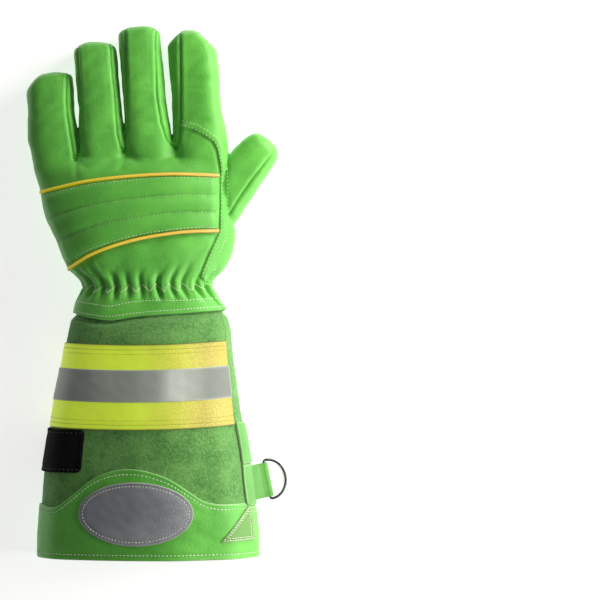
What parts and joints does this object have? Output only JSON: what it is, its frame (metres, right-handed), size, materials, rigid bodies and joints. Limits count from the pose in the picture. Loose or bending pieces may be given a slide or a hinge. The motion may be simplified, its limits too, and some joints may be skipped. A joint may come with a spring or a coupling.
{
  "type": "firefighter glove",
  "caption": "Left-hand gauntlet work glove in green leather with a padded knuckle panel, a reflective tape and a D-ring, lying palm down.",
  "frame": {"origin": "bottom centre of the bounding box, on the surface that the glove lies on", "axes": "+Z from the palm to the back of the hand, +Y towards the fingertips, +X towards the thumb side"},
  "size_m": [0.1674, 0.346, 0.0524],
  "materials": {
    "smooth_leather": "semi-gloss grain leather, green",
    "suede": "matt split leather, green",
    "piping": "yellow piping cord",
    "yellow_tape": "fluorescent yellow woven tape",
    "silver_tape": "glass-bead reflective cloth",
    "hook_tape": "black hook tape",
    "oval_cloth": "grey cloth",
    "steel": "dark plated wire"
  },
  "bodies": {
    "glove": {"back_panel": "smooth_leather", "index_back": "smooth_leather", "palm_panel": "smooth_leather", "middle_ring_front": "smooth_leather", "side_strip_little_ring": "smooth_leather", "side_strip_ring_middle": "smooth_leather", "side_strip_middle_index": "smooth_leather", "thumb_back": "smooth_leather", "thumb_front": "smooth_leather", "knuckle_pad": "smooth_leather", "piping_top": "piping", "piping_bottom": "piping", "cuff_back": "suede", "cuff_palm": "suede", "reflective_base": "yellow_tape", "reflective_strip": "silver_tape", "hem_panel": "smooth_leather", "oval_patch": "oval_cloth", "corner_patch": "smooth_leather", "vein_patch": "smooth_leather", "closure_backing": "smooth_leather", "hook_strip": "hook_tape", "strap": "smooth_leather", "ring_tab": "smooth_leather"},
    "ring": {"d_ring": "steel"}
  },
  "joints": [
    {"name": "ring_swing", "type": "hinge", "parent": "glove", "child": "ring", "pos_m": [0.07055, -0.1235, 0.0035], "axis": [-0.1908, 0.9816, 0], "range_deg": [-100, 90]}
  ]
}
